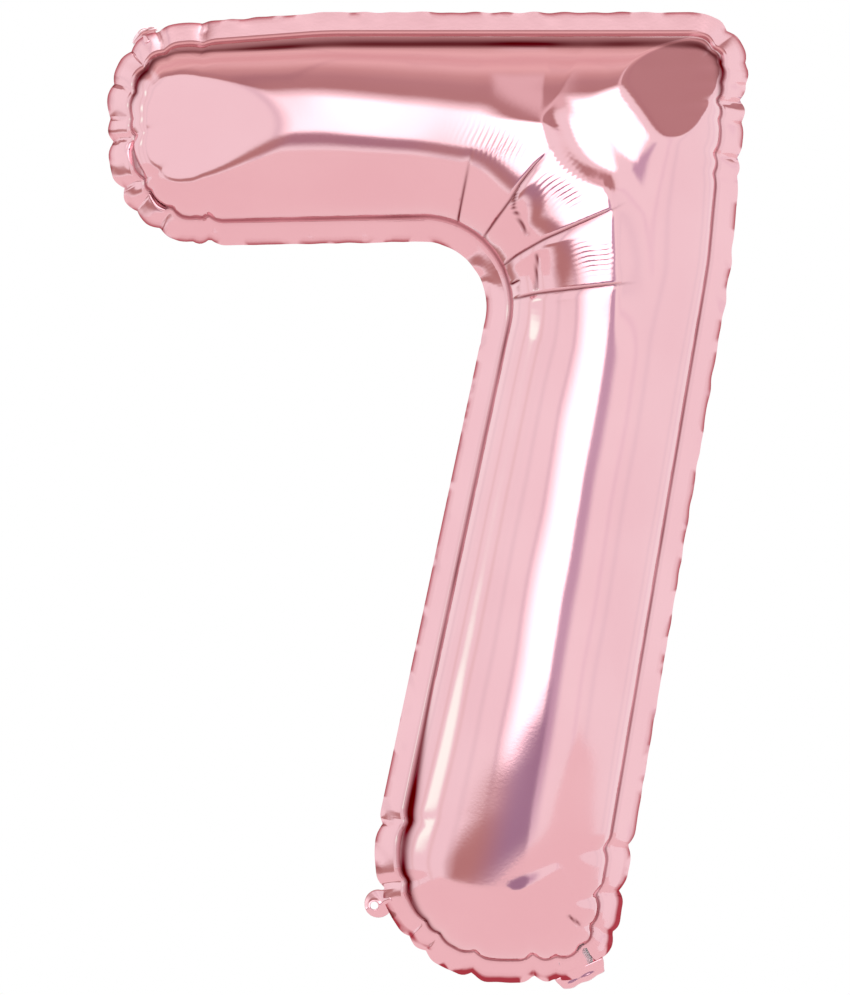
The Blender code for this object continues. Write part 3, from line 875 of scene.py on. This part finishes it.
# Far to the sides, by the share of the way to level left or right: pale, and one light just over the level
PALE_SIDES, PALE_COLOUR = (0.74, 0.86), (0.98, 0.98, 0.99)
SIDE_LIGHT, SIDE_LIGHT_UP = (0.976, 0.990), (0.0, 0.08)
SIDE_LIGHT_COLOUR = (1.15, 1.65, 1.45)
# Slightly darker upright stripes in the surroundings: middle and half width in degrees across, and colour
STRIPES = (
    (-23, 4, (0.84, 0.80, 0.84)), (-49, 6, (0.92, 0.91, 0.92)), (-74, 5, (0.93, 0.88, 0.86)),
    (50, 4, (0.94, 0.90, 0.94)), (64, 5, (0.94, 0.93, 0.95)),
)


def area_mask(nodes, across, up, edges):
    """1 inside a soft-edged area of the surroundings."""
    left, right, low, high = edges
    result = nodes.between(across, *left)
    for mask in (nodes.outside(across, *right), nodes.between(up, *low), nodes.outside(up, *high)):
        result = nodes.math("MULTIPLY", result, mask)
    return result


def height_ramp(nodes, up):
    """The colour of the surroundings by height alone."""
    ramp = nodes.add("ShaderNodeValToRGB")
    nodes.link(nodes.math("MULTIPLY_ADD", up, 1.0 / 180.0, 0.5), ramp.inputs[0])
    stops = ramp.color_ramp.elements
    for i, (angle, colour) in enumerate(SURROUNDINGS):
        place = (angle + 90) / 180
        stop = stops[i] if i < 2 else stops.new(place)
        stop.position = place
        stop.color = (*colour, 1.0)
    return ramp.outputs[0]


def add_world():
    """Surroundings alike in front and behind. The camera itself sees plain white."""
    world = bpy.data.worlds.new("studio")
    world.use_nodes = True
    bpy.context.scene.world = world
    nodes = Nodes(world.node_tree)
    split = nodes.add("ShaderNodeSeparateXYZ")
    nodes.link(nodes.add("ShaderNodeTexCoord").outputs["Generated"], split.inputs[0])
    x, y, z = split.outputs
    ahead = nodes.math("ABSOLUTE", y)
    up = nodes.math("MULTIPLY", nodes.math("ARCTAN2", z, ahead), 180.0 / math.pi)
    across = nodes.math("MULTIPLY", nodes.math("ARCTAN2", x, ahead), 180.0 / math.pi)
    aside = nodes.between(nodes.math("ABSOLUTE", x), *PALE_SIDES)
    seen = nodes.mix(aside, height_ramp(nodes, up), (*PALE_COLOUR, 1.0))
    seen = nodes.mix(area_mask(nodes, across, up, CEILING_LIGHT), seen, (*CEILING_LIGHT_COLOUR, 1.0))
    for angle, half, colour in STRIPES:
        off = nodes.math("ABSOLUTE", nodes.math("SUBTRACT", across, float(angle)))
        seen = nodes.mix(nodes.outside(off, 0.0, float(half)), seen, (*colour, 1.0), "MULTIPLY")
    strip = nodes.math("MULTIPLY", nodes.between(nodes.math("MULTIPLY", x, -1.0), *SIDE_LIGHT),
                       nodes.between(z, *SIDE_LIGHT_UP))
    seen = nodes.mix(strip, seen, (*SIDE_LIGHT_COLOUR, 1.0))
    seen = nodes.mix(area_mask(nodes, across, up, SOFT_LIGHT), seen, (*SOFT_LIGHT_COLOUR, 1.0))
    seen = nodes.mix(area_mask(nodes, across, up, DARK_STAND), seen, (*STAND_COLOUR, 1.0))
    dark = nodes.mix(nodes.between(across, *DARK_CHANGE), (*DARK_LEFT, 1.0), (*DARK_RIGHT, 1.0))
    seen = nodes.mix(area_mask(nodes, across, up, DARK_TABLE), seen, dark)
    white = nodes.mix(nodes.add("ShaderNodeLightPath").outputs["Is Camera Ray"], seen, WHITE)
    nodes.link(white, world.node_tree.nodes["Background"].inputs["Color"])


def add_floor():
    """A pale floor that glows a little, well below the balloon."""
    mesh = bpy.data.meshes.new("floor")
    low = SHIFT[2] - FLOOR_DROP
    wide, deep = FLOOR_HALF
    mesh.from_pydata([(-wide, -deep, low), (wide, -deep, low), (wide, deep, low), (-wide, deep, low)], [],
                     [(0, 1, 2, 3)])
    material, shader, _ = new_material("floor")
    shader.inputs["Base Color"].default_value = FLOOR_COLOUR
    shader.inputs["Roughness"].default_value = 0.9
    shader.inputs["Emission Color"].default_value = FLOOR_GLOW
    shader.inputs["Emission Strength"].default_value = FLOOR_GLOW_STRENGTH
    mesh.materials.append(material)
    link_piece("floor", mesh)


# ---------------------------------------------------------------- assembly

STROKE = Stroke()
PANEL_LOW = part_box("front_panel")[0]
RIM_LOW = np.min([tuple(p) for i in range(len(CORNERS)) for p in fillet(inset_corners(0.0), i)], axis=0)
MIDDLE_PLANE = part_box("back_panel")[0][1] - PANEL_GAP
SHIFT = np.array((PANEL_LOW[0] - RIM_LOW[0], MIDDLE_PLANE, PANEL_LOW[2] - RIM_LOW[1]))
FOLDS = {
    "neck_fold": Fold("neck_fold", 110, 0.0018, 1.0),
    "upper_tab_fold": Fold("upper_tab_fold", 70, 0.0008, 1.0 - FLANGE_TOP_LESS),
    "lower_tab_fold": Fold("lower_tab_fold", 0, 0.0008, 1.0),
}
# Distances outwards across a fold, handed to blend_at
LONG_BEND, SHORT_BEND = (0.0006, 0.0034), (0.0002, 0.0015)

bpy.context.scene.view_settings.view_transform = "Standard"
add_camera()
add_world()
add_floor()

FOIL_FRONT = foil_material("rose_gold_foil")
FOIL_BACK = foil_material("rose_gold_foil_back")
CLEAR = clear_material("clear_valve_film")
# The two sides: name, direction along Y, material, its slot, and the seed of its unevenness
SIDES = (
    ("front", -1, FOIL_FRONT, "rose_gold_foil", 3),
    ("back", 1, FOIL_BACK, "rose_gold_foil_back", 11),
)


def finish_piece(piece, material, slot, *nodes):
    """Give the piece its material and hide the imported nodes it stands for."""
    piece.data.materials.append(material)
    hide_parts(*nodes)


def blend_at(piece, fold, start, end):
    """Bake the piece's place into its points; the fold and the distances outwards across it are not used."""
    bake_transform(piece)


for side, facing, material, slot, seed in SIDES:
    film = make_film(f"{side}_film", facing, seed)
    finish_piece(film, material, slot, f"{side}_panel")
    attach(film, "balloon")

    neck = neck_film(side, -facing, FOLDS["neck_fold"])
    finish_piece(neck, material, slot, f"neck_film_{side}")
    blend_at(neck, FOLDS["neck_fold"], *LONG_BEND)

    for tab in ("upper_tab", "lower_tab"):
        piece = tab_film(f"{tab}_{side}_film", -facing, FOLDS[f"{tab}_fold"])
        finish_piece(piece, material, slot, f"{tab}_{side}")
        blend_at(piece, FOLDS[f"{tab}_fold"], *SHORT_BEND)

    valve = valve_film(side, -facing, FOLDS["neck_fold"])
    finish_piece(valve, CLEAR, "clear_valve_film", f"valve_film_{side}", f"valve_mouth_{side}")
    blend_at(valve, FOLDS["neck_fold"], *LONG_BEND)
